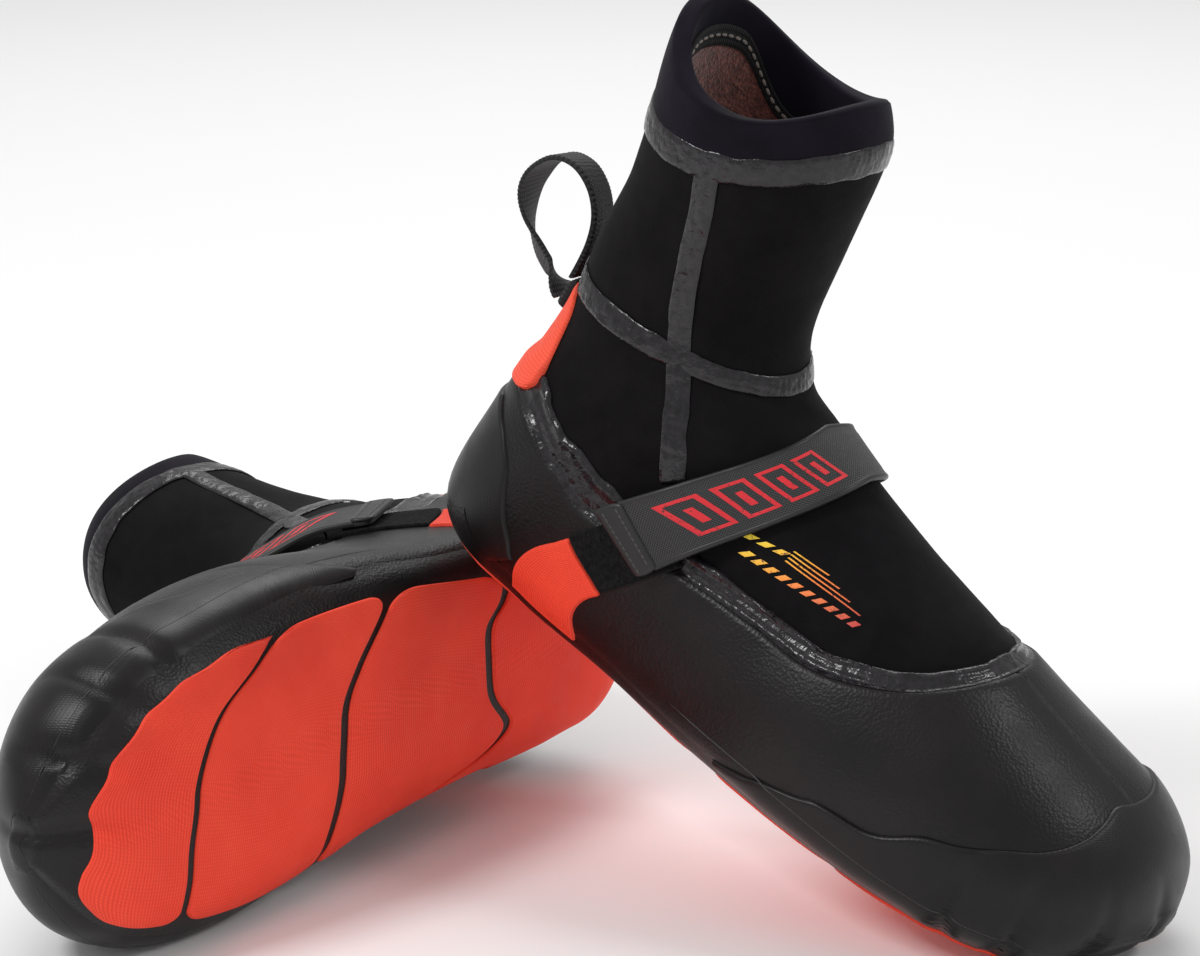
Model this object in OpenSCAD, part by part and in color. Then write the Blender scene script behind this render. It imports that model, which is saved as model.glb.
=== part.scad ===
// A pair of thick neoprene water boots: the left one lies on its inner side with its sole
// towards the front, and the right one stands on its toe with its heel across the left one.
// Both are one boot, mirrored. In the boot's own frame +X runs from heel to toe, +Y towards
// the inner side of the right foot, and +Z up from the sole.

/* [Boot] */
// Length of the boot's neoprene from heel to toe tip
boot_length = 300; // [270:5:330]
// Extra room added to the half width everywhere
extra_width = 0; // [0:0.5:4]
// How far the rim dips at the two sides of the collar
rim_dip = 9; // [4:1:20]
// How far the collar seam dips at the two sides
seam_dip = 8; // [0:1:12]

/* [Layers] */
// Thickness of the neoprene
neoprene = 5; // [4:0.5:6]
// Thickness of the linings
lining = 1.2; // [0.8:0.1:1.5]
// Thickness of the seam tape
tape = 0.6; // [0.4:0.1:0.8]
// Thickness of the rubber shell
shell = 2.2; // [1.8:0.1:2.6]
// Thickness of the outsole under the shell
outsole = 3; // [2:0.5:4]
// Height of the grip panels above the outsole
grip = 1.5; // [1:0.1:2]
// Thickness of the moulded overlays at toe and heel
overlay = 1.1; // [0.8:0.1:1.4]

/* [Webbing] */
// Thickness of the instep strap
strap = 2; // [1.6:0.1:2.4]
// Width of the webbing of the pull loop
loop_width = 18; // [14:1:22]
// Thickness of the webbing of the pull loop
webbing = 1.8; // [1.4:0.1:2.2]

/* [Pose of the pair] */
// Turn of the right boot about the vertical
right_yaw = -37; // [-44:1:-34]
// Toe-down pitch of the right boot
right_pitch = 25.5; // [24:0.5:28]
// Turn of the left boot about the vertical
left_yaw = 232.5; // [228:0.5:236]

/* [Hidden] */

NEOPRENE = "#1c1a1c";
COLLAR = "#1d1a20";
TAPE = "#4a4648";
RUBBER = "#2f2c2e";
ORANGE = "#f4573f";
STRAP = "#454545";
PLUSH = "#5a2f28";
PRINT = "#c8323a";

// Glue line left between neighbouring layers, and the gap between panels along and around.
bond = 0.3;
along_gap = 0.01;
around_gap = 0.3;

// Outer face of each layer, measured outwards from the outer face of the neoprene.
lining_face = -neoprene - bond;
shell_face = bond + shell;
overlay_face = shell_face + bond + overlay;
outsole_face = shell_face + bond + outsole;
grip_face = outsole_face + bond + grip;
loop_face = shell_face + bond + 0.8;
hook_low = loop_face + 0.4;
hook_face = hook_low + 0.7;
strap_side_low = hook_face + bond;
strap_top_low = bond + tape + 0.5;

// Stations from the rim (0) over the ankle (4) and heel (6) to the toe tip (14). Each row is
// front or top x and z, back or sole x and z, half width, centre y, height of the widest place
// as a share of the way from back to front, and the squareness of the lower half.
STATIONS = [
    [86, 213, 14, 214, 38, 0, 0.5, 2.1],
    [95, 197, 17, 176, 36.5, 0, 0.5, 2.1],
    [96, 160, 18.5, 149, 33.5, 0, 0.5, 2.1],
    [98, 126, 15, 122, 31.5, 0, 0.5, 2.1],
    [108, 108, 17, 96, 34, 0, 0.45, 2.2],
    [124, 103, 10.5, 52, 40, 0, 0.4, 2.5],
    [142, 98, 10, 7, 42, 0, 0.35, 3],
    [162, 91, 52, 0, 43, 1, 0.3, 3.5],
    [184, 85, 96, 0, 44, 0, 0.3, 3.5],
    [206, 79, 140, 0, 48, -1, 0.3, 3.5],
    [228, 71, 185, 0, 51, 1, 0.3, 3.5],
    [250, 63, 225, 0, 51, 5, 0.3, 3.3],
    [271, 55, 256, 2, 46, 8, 0.35, 3],
    [287, 43, 277, 7, 33, 10, 0.4, 3],
    [294, 29, 293, 21, 8, 12, 0.5, 2.2]
];
TIP = len(STATIONS) - 1;
CROWN = 2.1;
NOMINAL_LENGTH = 300;
size_ratio = boot_length / NOMINAL_LENGTH;

// Where the two boots' own frames lie in the pair's frame.
right_roll = 0;
left_roll = 91;
left_pitch = 0;
RIGHT_PLACE = [-42.8, 9.3, 119];
LEFT_PLACE = [21.2, 56.4, 60.3];

// Places along the boot, in stations, and around it, in degrees from the top of the foot.
collar_seam = 1;
ankle_seam = 3.6;
sock_end = 13.4;
shell_back = 4.78;
shell_throat = 9.5;
sole_side = 118;
strap_side = 72;
strap_end = 76;
strap_root = 60;
anchor_start = 66;
anchor_end = 76;
outer_tab_top = 88;
inner_tab_top = 78;

// Upper edge of the shell, half way round, from the back of the heel to the throat: each
// point is a station and an angle. The bead runs along it on the neoprene.
SHELL_EDGE = [[4.78, 150], [4.9, 121], [5.2, 100], [5.85, 83], [7.15, 67], [8.5, 60],
              [9.1, 44], [9.4, 26], [9.5, 12]];
EDGE_LINE = concat([[4.76, 180], [4.76, 149]], [for (i = [1:7]) SHELL_EDGE[i] - [0.02, 1]],
                   [[9.46, 0]]);
BEAD_LINE = [[4.64, 180], [4.64, 146], [4.7, 113], [5.08, 91], [5.7, 75.5], [7.05, 60.5],
             [8.35, 53], [8.88, 39], [9.15, 22], [9.22, 0]];
TOE_EDGE = [[9.6, 100], [10.3, 84], [11.4, 72], [12.1, 30], [12.3, 2]];
HEEL_EDGE = [[5, 140], [5.12, 126], [5.6, 102], [5.9, 98.5]];
SEAM_LINE = [[1, 85], [2.2, 80], [3.5, 69.5], [4.4, 64], [6, 60], [14, 90]];

// Grip panels of the sole, from toe to heel: station of the front edge and of the rear edge
// on the outer side and on the inner side of the foot.
GRIP_PANELS = [[10.7, 10.15, 13.1, 11.25], [9.95, 8.7, 11.05, 9.5], [8.5, 7.6, 9.3, 8.7],
               [7.4, 6.3, 8.5, 6.3]];
grip_inner_side = 125;
grip_outer_side = 133;

// Middle line of the pull loop's webbing, x and z, from its inner end to its outer end.
LOOP_PATH = [[12.4, 99], [12, 106], [11, 114], [8.5, 122], [3, 129], [-5, 132.8], [-13, 131.5],
             [-19, 125], [-20.8, 115], [-16.5, 104.5], [-8, 96.5], [1.5, 91.6], [9.6, 89]];

function blend(a, b, f) = a + (b - a) * f;
function ease(f) = let(c = min(max(f, 0), 1)) c * c * (3 - 2 * c);
function spline(a, b, c, d, f) =
    b + 0.5 * f * (c - a + f * (2 * a - 5 * b + 4 * c - d + f * (3 * (b - c) + d - a)));

// The row of station values at any place along the boot.
function row(s) =
    let(i = min(floor(s), TIP - 1), before = STATIONS[max(i - 1, 0)],
        after = STATIONS[min(i + 2, TIP)])
    spline(before, STATIONS[i], STATIONS[i + 1], after, s - i);

// A point of the neoprene's outer face at station s, t degrees round from the top.
function skin(s, t) =
    let(r = row(s), top = [r[0], r[1]], sole = [r[2], r[3]],
        wide = sole + r[6] * (top - sole),
        upper = cos(t) >= 0, power = 2 / (upper ? CROWN : r[7]),
        rise = pow(abs(cos(t)), power), reach = sign(sin(t)) * pow(abs(sin(t)), power),
        p = wide + ((upper ? top : sole) - wide) * rise,
        dip = pow(sin(t), 2) * (rim_dip * max(1 - s, 0) + seam_dip * ease((2.6 - s) / 1.6)))
    size_ratio * [p[0], r[5] + (r[4] + extra_width) * reach, p[1] - dip];
function outward(s, t) =
    let(step = 0.05, n = cross(skin(min(s + step, TIP), t) - skin(max(s - step, 0), t),
                               skin(s, t + 1) - skin(s, t - 1)))
    n / norm(n);

// Two sheets of points, rows x columns, one at each height over the skin. place(u, v) gives
// the station and angle, low(u, v) and high(u, v) the two heights.
function sheet(place, height, rows, columns, last) =
    [for (i = [0:rows], j = [0:last])
        let(u = i / rows, v = j / columns, p = place(u, v))
        skin(p[0], p[1]) + height(u, v) * outward(p[0], p[1])];
function quad(a, b, c, d) = [[a, b, c], [a, c, d]];

// A closed panel: upper sheet, lower sheet and the wall round the edge.
module panel(place, low, high, rows, columns) {
    wide = columns + 1;
    count = (rows + 1) * wide;
    points = concat(sheet(place, high, rows, columns, columns),
                    sheet(place, low, rows, columns, columns));
    faces = concat(
        [for (i = [0:rows - 1], j = [0:columns - 1]) let(a = i * wide + j)
            each quad(a, a + 1, a + wide + 1, a + wide)],
        [for (i = [0:rows - 1], j = [0:columns - 1]) let(a = count + i * wide + j)
            each quad(a, a + wide, a + wide + 1, a + 1)],
        [for (j = [0:columns - 1]) each quad(j + 1, j, j + count, j + 1 + count)],
        [for (j = [0:columns - 1]) let(a = rows * wide + j)
            each quad(a, a + 1, a + 1 + count, a + count)],
        [for (i = [0:rows - 1]) let(a = i * wide)
            each quad(a, a + wide, a + wide + count, a + count)],
        [for (i = [0:rows - 1]) let(a = i * wide + columns)
            each quad(a + wide, a, a + count, a + wide + count)]);
    polyhedron(points, faces);
}

// A closed sleeve all the way round from station a to station b. With cap set, both sheets
// close in a point at station b, which makes a cup.
module sleeve(a, b, low, high, rows, columns, cap = false) {
    place = function(u, v) [blend(a, b, u), 360 * v];
    lift = function(h) function(u, v) h;
    count = (rows + 1) * columns;
    upper = sheet(place, lift(high), rows, columns, columns - 1);
    lower = sheet(place, lift(low), rows, columns, columns - 1);
    centre = function(list) [for (k = [0:2])
        let(ring = [for (j = [0:columns - 1]) list[rows * columns + j][k]])
        ring * [for (j = ring) 1] / columns];
    points = concat(upper, lower, [centre(upper), centre(lower)]);
    last = rows * columns;
    next = function(j) (j + 1) % columns;
    faces = concat(
        [for (i = [0:rows - 1], j = [0:columns - 1]) let(a = i * columns, k = next(j))
            each quad(a + j, a + k, a + columns + k, a + columns + j)],
        [for (i = [0:rows - 1], j = [0:columns - 1]) let(a = count + i * columns, k = next(j))
            each quad(a + j, a + columns + j, a + columns + k, a + k)],
        [for (j = [0:columns - 1]) each quad(next(j), j, j + count, next(j) + count)],
        [for (j = [0:columns - 1]) let(k = next(j)) each cap
            ? [[last + j, last + k, 2 * count],
               [count + last + k, count + last + j, 2 * count + 1]]
            : quad(last + j, last + k, last + k + count, last + j + count)]);
    polyhedron(cap ? points : [for (i = [0:2 * count - 1]) points[i]], faces);
}

// A panel of even height whose sides follow two angle functions of the station.
module strip(a, b, from, to, low, high, rows, columns) {
    panel(function(u, v) let(s = blend(a, b, u)) [s, blend(from(s), to(s), v)],
          function(u, v) low, function(u, v) high, rows, columns);
}
// The same on one side only: side is -1 for the outer side of the foot and 1 for the inner.
module side_panel(side, place, low, high, rows, columns) {
    if (side > 0) panel(place, low, high, rows, columns);
    else panel(function(u, v) let(p = place(u, 1 - v)) [p[0], -p[1]], low, high, rows, columns);
}
module side_strip(side, a, b, from, to, low, high, rows, columns) {
    if (side > 0) strip(a, b, from, to, low, high, rows, columns);
    else strip(a, b, function(s) -to(s), function(s) -from(s), low, high, rows, columns);
}
SIDES = [-1, 1];

// Angle of the side seam of the upper at a station.
function seam(s) = lookup(s, SEAM_LINE);
// Place on a line of stations and angles, with f counting its points.
function on_line(line, f) = [lookup(f, [for (i = [0:len(line) - 1]) [i, line[i][0]]]),
                             lookup(f, [for (i = [0:len(line) - 1]) [i, line[i][1]]])];

module collar_band() {
    color(COLLAR) sleeve(0, collar_seam - along_gap, -neoprene, 0, 3, 24);
}
module shaft_front() {
    edge = function(s) seam(s) - around_gap;
    color(NEOPRENE) strip(collar_seam, ankle_seam - along_gap, function(s) -edge(s), edge,
                          -neoprene, 0, 5, 9);
}
module shaft_back() {
    edge = function(s) seam(s) + around_gap;
    color(NEOPRENE) strip(collar_seam, ankle_seam - along_gap, edge,
                          function(s) 360 - edge(s), -neoprene, 0, 5, 12);
}
module vamp() {
    edge = function(s) seam(s) - around_gap;
    color(NEOPRENE) strip(ankle_seam, sock_end, function(s) -edge(s), edge,
                          -neoprene, 0, 17, 9);
}
module quarter() {
    edge = function(s) seam(s) + around_gap;
    color(NEOPRENE) strip(ankle_seam, sock_end, edge, function(s) 360 - edge(s),
                          -neoprene, 0, 17, 14);
}
module seam_ring(s, half) {
    sleeve(s - half, s + half, bond, bond + tape, 1, 24);
}
module collar_tape() {
    color(TAPE) seam_ring(collar_seam, 0.19);
}
module ankle_tape() {
    color(TAPE) seam_ring(ankle_seam, 0.19);
}
// Tape over the two side seams, above and below the ankle seam.
module side_tapes() {
    half = 5.5;
    spans = [[collar_seam + 0.22, ankle_seam - 0.22], [ankle_seam + 0.22, 5.4]];
    color(TAPE) for (side = SIDES, span = spans)
        side_strip(side, span[0], span[1], function(s) seam(s) - half,
                   function(s) seam(s) + half, bond, bond + tape, 6, 2);
}
module shell_bead() {
    steps = len(EDGE_LINE) - 1;
    color(TAPE) for (side = SIDES) side_panel(side,
        function(u, v) on_line(BEAD_LINE, u * steps) * (1 - v) + on_line(EDGE_LINE, u * steps) * v,
        function(u, v) bond, function(u, v) bond + 2 * tape, steps, 1);
}
module plush_lining() {
    color(PLUSH) sleeve(collar_seam + along_gap, 13, lining_face - lining, lining_face, 17, 18);
}
module collar_lining() {
    color(COLLAR) sleeve(0.1, collar_seam - along_gap, lining_face - lining, lining_face, 2, 18);
}
module insole() {
    low = lining_face - lining - bond;
    thick = 3;
    color(NEOPRENE) strip(6.6, 12.6, function(s) 124, function(s) 236, low - thick, low, 9, 6);
}
module rubber_shell() {
    edge = function(s) lookup(s, SHELL_EDGE);
    color(RUBBER) union() {
        strip(shell_back, shell_throat, edge, function(s) 360 - edge(s),
              bond, shell_face, 12, 16);
        sleeve(shell_throat - along_gap, TIP, bond, shell_face, 7, 24, cap = true);
    }
}
module outsole_tray() {
    low = shell_face + bond;
    color(RUBBER) strip(6, 13.7, function(s) sole_side, function(s) 360 - sole_side,
                        low, outsole_face, 13, 8);
}
module heel_counter() {
    edge = function(s) lookup(s, HEEL_EDGE);
    color(RUBBER) strip(5, 5.9, edge, function(s) 360 - edge(s),
                        shell_face + bond, overlay_face, 4, 7);
}
module toe_rand() {
    low = shell_face + bond;
    edge = function(s) lookup(s, TOE_EDGE);
    limit = sole_side - around_gap;
    color(RUBBER) union() {
        for (side = SIDES)
            side_strip(side, 9.6, 12.3, edge, function(s) limit, low, overlay_face, 9, 5);
        strip(12.3 - along_gap, 13.9, function(s) -limit, function(s) limit,
              low, overlay_face, 6, 18);
    }
}
module grip_panels() {
    low = outsole_face + bond;
    color(ORANGE) for (p = GRIP_PANELS)
        panel(function(u, v) [blend(blend(p[2], p[0], v), blend(p[3], p[1], v), 1 - u),
                              blend(grip_inner_side, 360 - grip_outer_side, v)],
              function(u, v) low, function(u, v) grip_face, 4, 6);
}
// Rubber tab that runs up the waist from the sole towards an end of the strap.
module side_tab(side, top) {
    low = shell_face + bond;
    side_panel(side, function(u, v) [blend(7.2, 6.67, v) + (u - 0.5) * blend(0.6, 0.76, v),
                                     blend(sole_side - 1, top, v)],
               function(u, v) low, function(u, v) low + overlay, 2, 4);
}
module outer_tab() {
    color(ORANGE) side_tab(-1, outer_tab_top);
}
module inner_tab() {
    color(ORANGE) side_tab(1, inner_tab_top);
}
module heel_patch() {
    half = function(s) blend(38, 58, (s - 3.85) / 0.75);
    color(ORANGE) strip(3.85, 4.6, function(s) 180 - half(s), function(s) 180 + half(s),
                        bond, bond + 1.5, 3, 5);
}
// Middle line and half width of the instep strap, as stations at an angle round the boot.
function strap_middle(t) = 5.33 + 1.02 * pow(min(abs(t) / strap_side, 1.1), 1.3);
function strap_half(t) = blend(0.65, 0.5, abs(t) / strap_side);
function strap_low(t) = blend(strap_top_low, strap_side_low, ease((abs(t) - 45) / 20));
// A piece that follows the strap's line from angle a to angle b; share is its share of the
// strap's width, low and high are heights at an angle.
module strap_piece(a, b, share, low, high, columns) {
    angle = function(v) blend(a, b, v);
    panel(function(u, v) let(t = angle(v)) [strap_middle(t) + (2 * u - 1) * share * strap_half(t), t],
          function(u, v) low(angle(v)), function(u, v) high(angle(v)), 2, columns);
}
module instep_strap() {
    color(STRAP) strap_piece(-strap_end, strap_root, 1, function(t) strap_low(t),
                             function(t) strap_low(t) + strap, 18);
}
module strap_bar() {
    color(STRAP) strap_piece(-strap_end, 4 - strap_end, 1, function(t) strap_low(t) + strap + bond,
                             function(t) strap_low(t) + strap + bond + 1, 1);
}
module hook_patch() {
    color(COLLAR) strap_piece(1 - strap_end, 8 - strap_end, 0.85, function(t) hook_low,
                              function(t) hook_face, 2);
}
module loop_patch() {
    color(COLLAR) strap_piece(-86, 8 - strap_end, 0.85, function(t) shell_face + bond,
                              function(t) loop_face, 4);
}
module strap_anchor() {
    color(COLLAR) strap_piece(anchor_start, anchor_end, 1, function(t) shell_face + bond,
                              function(t) strap_side_low + strap, 2);
}
// Plain motif of slanted bars on the strap.
module strap_print() {
    lift = function(h) function(t) strap_low(t) + strap + h;
    color(PRINT) for (t = [-60:14:-18])
        strap_piece(t, t + 6, 0.6, lift(bond / 3), lift(bond), 1);
}
// Plain slanted stripes on the outer side of the vamp.
module instep_print() {
    color(PRINT) for (k = [0:3])
        panel(function(u, v) [7 + 0.22 * k + 0.9 * u, -52 + 3.2 * k + 4 * u + 1.6 * v],
              function(u, v) bond / 3, function(u, v) bond, 3, 1);
}
module inner_seam() {
    low = lining_face - lining - bond;
    color(TAPE) sleeve(collar_seam - 0.1, collar_seam + 0.1, low - tape, low, 1, 18);
}
// Folded webbing block that holds both ends of the pull loop on the heel patch.
module loop_base() {
    color(COLLAR) strip(3.95, 4.2, function(s) 166, function(s) 194,
                        bond + 1.5 + bond, bond + 1.5 + bond + 2 * webbing, 1, 2);
}
// Webbing loop: a flat band swept along its middle line.
module pull_loop() {
    last = len(LOOP_PATH) - 1;
    side = function(i) let(d = LOOP_PATH[min(i + 1, last)] - LOOP_PATH[max(i - 1, 0)])
        [-d[1], d[0]] / norm(d) * webbing / 2;
    corners = function(i) let(p = LOOP_PATH[i], n = side(i), w = loop_width / 2)
        [for (c = [[1, -w], [1, w], [-1, w], [-1, -w]])
            size_ratio * [p[0] + c[0] * n[0], c[1], p[1] + c[0] * n[1]]];
    points = [for (i = [0:last]) each corners(i)];
    ring = function(i, j) 4 * i + (j % 4);
    faces = concat([[0, 1, 2], [0, 2, 3]],
        [for (i = [0:last - 1], j = [0:3])
            each quad(ring(i, j + 1), ring(i, j), ring(i + 1, j), ring(i + 1, j + 1))],
        [[4 * last + 2, 4 * last + 1, 4 * last], [4 * last + 3, 4 * last + 2, 4 * last]]);
    color(COLLAR) polyhedron(points, faces);
}

module on_right() {
    translate(RIGHT_PLACE) rotate([right_roll, right_pitch, right_yaw]) children();
}
module on_left() {
    translate(LEFT_PLACE) rotate([left_roll, left_pitch, left_yaw]) mirror([0, 1, 0]) children();
}

on_right() collar_band();  // right_collar_band
on_right() shaft_front();  // right_shaft_front
on_right() shaft_back();  // right_shaft_back
on_right() vamp();  // right_vamp
on_right() quarter();  // right_quarter
on_right() collar_tape();  // right_collar_tape
on_right() ankle_tape();  // right_ankle_tape
on_right() side_tapes();  // right_side_tapes
on_right() shell_bead();  // right_shell_bead
on_right() plush_lining();  // right_plush_lining
on_right() collar_lining();  // right_collar_lining
on_right() inner_seam();  // right_inner_seam
on_right() insole();  // right_insole
on_right() rubber_shell();  // right_rubber_shell
on_right() outsole_tray();  // right_outsole_tray
on_right() heel_counter();  // right_heel_counter
on_right() toe_rand();  // right_toe_rand
on_right() grip_panels();  // right_grip_panels
on_right() outer_tab();  // right_outer_tab
on_right() inner_tab();  // right_inner_tab
on_right() heel_patch();  // right_heel_patch
on_right() loop_patch();  // right_loop_patch
on_right() strap_anchor();  // right_strap_anchor
on_right() instep_print();  // right_instep_print
on_right() instep_strap();  // right_instep_strap
on_right() strap_bar();  // right_strap_bar
on_right() hook_patch();  // right_hook_patch
on_right() strap_print();  // right_strap_print
on_right() loop_base();  // right_loop_base
on_right() pull_loop();  // right_pull_loop
on_left() collar_band();  // left_collar_band
on_left() shaft_front();  // left_shaft_front
on_left() shaft_back();  // left_shaft_back
on_left() vamp();  // left_vamp
on_left() quarter();  // left_quarter
on_left() collar_tape();  // left_collar_tape
on_left() ankle_tape();  // left_ankle_tape
on_left() side_tapes();  // left_side_tapes
on_left() shell_bead();  // left_shell_bead
on_left() plush_lining();  // left_plush_lining
on_left() collar_lining();  // left_collar_lining
on_left() inner_seam();  // left_inner_seam
on_left() insole();  // left_insole
on_left() rubber_shell();  // left_rubber_shell
on_left() outsole_tray();  // left_outsole_tray
on_left() heel_counter();  // left_heel_counter
on_left() toe_rand();  // left_toe_rand
on_left() grip_panels();  // left_grip_panels
on_left() outer_tab();  // left_outer_tab
on_left() inner_tab();  // left_inner_tab
on_left() heel_patch();  // left_heel_patch
on_left() loop_patch();  // left_loop_patch
on_left() strap_anchor();  // left_strap_anchor
on_left() instep_print();  // left_instep_print
on_left() instep_strap();  // left_instep_strap
on_left() strap_bar();  // left_strap_bar
on_left() hook_patch();  // left_hook_patch
on_left() strap_print();  // left_strap_print
on_left() loop_base();  // left_loop_base
on_left() pull_loop();  // left_pull_loop
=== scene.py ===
# Looks for a pair of neoprene water boots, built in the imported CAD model's frame.
# A boot is drawn once in its own frame, in millimetres: +X from heel to toe, +Y to the inner
# side of the right foot, +Z up from the sole. Its skin is addressed by a station s along the
# boot and an angle t round it, 0 at the top of the foot, negative on the outer side. Every
# piece is a closed sheet over that skin, put in place twice and mirrored for the left foot.
import math
from types import SimpleNamespace

import bmesh
import bpy
import numpy as np
from mathutils import Matrix, Vector
from mathutils.kdtree import KDTree


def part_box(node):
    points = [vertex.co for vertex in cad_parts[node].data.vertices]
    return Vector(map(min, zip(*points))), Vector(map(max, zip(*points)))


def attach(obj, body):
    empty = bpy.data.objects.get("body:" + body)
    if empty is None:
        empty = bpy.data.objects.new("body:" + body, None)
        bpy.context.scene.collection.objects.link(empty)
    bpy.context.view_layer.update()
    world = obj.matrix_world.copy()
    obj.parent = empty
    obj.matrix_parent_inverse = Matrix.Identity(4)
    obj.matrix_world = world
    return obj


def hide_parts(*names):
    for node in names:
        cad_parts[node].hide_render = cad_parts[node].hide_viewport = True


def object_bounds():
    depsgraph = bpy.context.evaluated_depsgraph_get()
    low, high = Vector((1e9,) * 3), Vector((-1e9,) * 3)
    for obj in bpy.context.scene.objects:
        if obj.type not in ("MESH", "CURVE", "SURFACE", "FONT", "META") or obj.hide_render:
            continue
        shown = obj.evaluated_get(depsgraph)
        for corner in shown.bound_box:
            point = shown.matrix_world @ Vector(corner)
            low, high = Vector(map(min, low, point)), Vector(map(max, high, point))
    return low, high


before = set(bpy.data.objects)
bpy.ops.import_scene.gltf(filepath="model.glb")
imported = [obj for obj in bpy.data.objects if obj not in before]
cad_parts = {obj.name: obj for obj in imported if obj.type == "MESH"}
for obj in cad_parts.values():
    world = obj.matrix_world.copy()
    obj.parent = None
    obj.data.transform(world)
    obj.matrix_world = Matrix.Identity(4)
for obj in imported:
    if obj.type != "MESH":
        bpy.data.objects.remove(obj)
cad_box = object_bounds()

MM = 0.001

# The rows below and the outlines after them were worked out by fitting scripts and rounded. They
# are data, and are still to be replaced by a design.
# Front or top x and z, back or sole x and z, half width, centre y, height of the widest place
# as a share from back to front, squareness of the lower half: the same rows as in the CAD.
STATIONS = np.array([
    [86, 213, 14, 214, 38, 0, 0.5, 2.1],
    [95, 197, 17, 176, 36.5, 0, 0.5, 2.1],
    [96, 160, 18.5, 149, 33.5, 0, 0.5, 2.1],
    [98, 126, 15, 122, 31.5, 0, 0.5, 2.1],
    [108, 108, 17, 96, 34, 0, 0.45, 2.2],
    [124, 103, 10.5, 52, 40, 0, 0.4, 2.5],
    [142, 98, 10, 7, 42, 0, 0.35, 3],
    [162, 91, 52, 0, 43, 1, 0.3, 3.5],
    [184, 85, 96, 0, 44, 0, 0.3, 3.5],
    [206, 79, 140, 0, 48, -1, 0.3, 3.5],
    [228, 71, 185, 0, 51, 1, 0.3, 3.5],
    [250, 63, 225, 0, 51, 5, 0.3, 3.3],
    [271, 55, 256, 2, 46, 8, 0.35, 3],
    [287, 43, 277, 7, 33, 10, 0.4, 3],
    [294, 29, 293, 21, 8, 12, 0.5, 2.2],
])
TIP = len(STATIONS) - 1
POLE = TIP + 1
NOSE = 0.6
CROWN = 2.1
RIM_DIP = 9
SEAM_DIP = 8

# Heights over the neoprene, in millimetres.
NEOPRENE = 5
SHELL_LOW = 0.3
SHELL = 2.5
OVERLAY = 3.9
OUTSOLE = 5.8
GRIP = 6.8
TAPE_LOW = 0.25
TAPE = 0.9
SIDE_TAPE = 9.0
LINING = 5.3
RIM = 6.6
PLUSH_STEP = 0.8
STRAP_TOP_LOW = 1.4
STRAP_SIDE_LOW = 5.0
STRAP = 2.0
LOOP_PILE = 3.9

# Toe lobes: where their fan starts, the angles of the notches between them, and their sizes.
TOE_CENTRE = np.array([240, 0, 0])
NOTCHES = (-77, -49, -18, 9)
NOTCH_WIDTH = 2.8
NOTCH_DEPTH = 1.9
LOBE_HEIGHT = 0.6

# Places of seams and edges: stations along the boot and angles round it.
COLLAR_SEAM = 1
ANKLE_SEAM = 3.6
SOCK_END = 13.2
SOLE_SIDE = 118
STRAP_SIDE = 72
STRAP_END = -76
STRAP_ROOT = 60
BAR = 5.2
SEAM = [(1, 85), (2.2, 80), (3.5, 69.5), (4.4, 64), (6, 60), (14, 90)]
SHELL_EDGE = [(4.76, 180), (4.76, 165), (4.78, 150), (4.86, 124), (5.15, 102), (5.45, 91),
              (5.85, 83), (6.4, 75), (7.15, 67.5), (7.8, 64), (8.5, 60), (9.1, 45), (9.4, 26),
              (9.5, 12), (9.52, 0)]
BEAD_EDGE = [(4.6, 180), (4.6, 165), (4.62, 147), (4.66, 114), (4.96, 98), (5.25, 86),
             (5.65, 76), (6.2, 67.5), (7, 60.5), (7.6, 57.5), (8.3, 53.5), (8.86, 39.5), (9.15, 22),
             (9.21, 10), (9.22, 0)]
COUNTER_EDGE = [(4.96, 141), (5.08, 128), (5.3, 112), (5.6, 101.5), (5.95, 98), (6.3, 99), (6.6, 106)]
RAND_EDGE = [(9.2, -118), (9.45, -104), (9.62, -95.5), (9.91, -89.5), (10.43, -85),
             (10.83, -71.5), (11.12, -66.5), (11.45, -58), (11.78, -48.5), (11.98, -32.5),
             (11.95, -19.5), (11.85, -9), (11.93, 0), (11.93, 13), (11.8, 25.5), (11.55, 40),
             (11.3, 55), (10.9, 70), (10.5, 82), (9.8, 97), (9.3, 118)]

# Grip panels on the sole, from toe to heel. A line runs from the outer to the inner side.
GRIP_FRONT = [(10.5, -139), (10.98, -134.5), (11.29, -136), (11.6, -135.5), (11.91, -138),
              (12.2, -139), (12.5, -144), (12.83, -148), (12.97, -155), (13.24, -166),
              (13.22, -179), (13.36, -200), (13.34, -218), (13.16, -231)]
GRIP_GAPS = [
    [(10.43, -139), (10.78, -150), (11.26, -160.5), (11.56, -173), (11.74, -184),
     (11.8, -204), (11.83, -226)],
    [(9.1, -142), (9.31, -155), (9.64, -171.5), (9.81, -180), (9.85, -190), (9.94, -210),
     (10, -238)],
    [(7.7, -148), (7.86, -163), (8.05, -171.5), (8.07, -182), (7.83, -201), (8.02, -211),
     (8.45, -220), (8.9, -238)],
]
GRIP_REAR = [(6.5, -142), (6.25, -152), (6.2, -180), (6.25, -208), (6.5, -236)]

LOOP_PATH = [(12.4, 99), (12, 106), (11, 114), (8.5, 122), (3, 129), (-5, 132.8), (-13, 131.5),
             (-19, 125), (-20.8, 115), (-16.5, 104.5), (-8, 96.5), (1.5, 91.6), (9.6, 89)]
LOOP_WIDTH = 18
LOOP_POINTS = 420
PRINT_START = 6.5
PRINT_END = 8.2
INK_LENGTH = 34
WEBBING = 1.8

# Camera: degrees above the level, focal length in millimetres, metres from its target, and the
# target's place as shares of the pair's box from its middle and from the floor.
ELEVATION = 15.42
FOCAL_LENGTH = 104.6
CAMERA_DISTANCE = 1.2502
AIM_ASIDE = 0.0125
AIM_UP = 0.403


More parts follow.
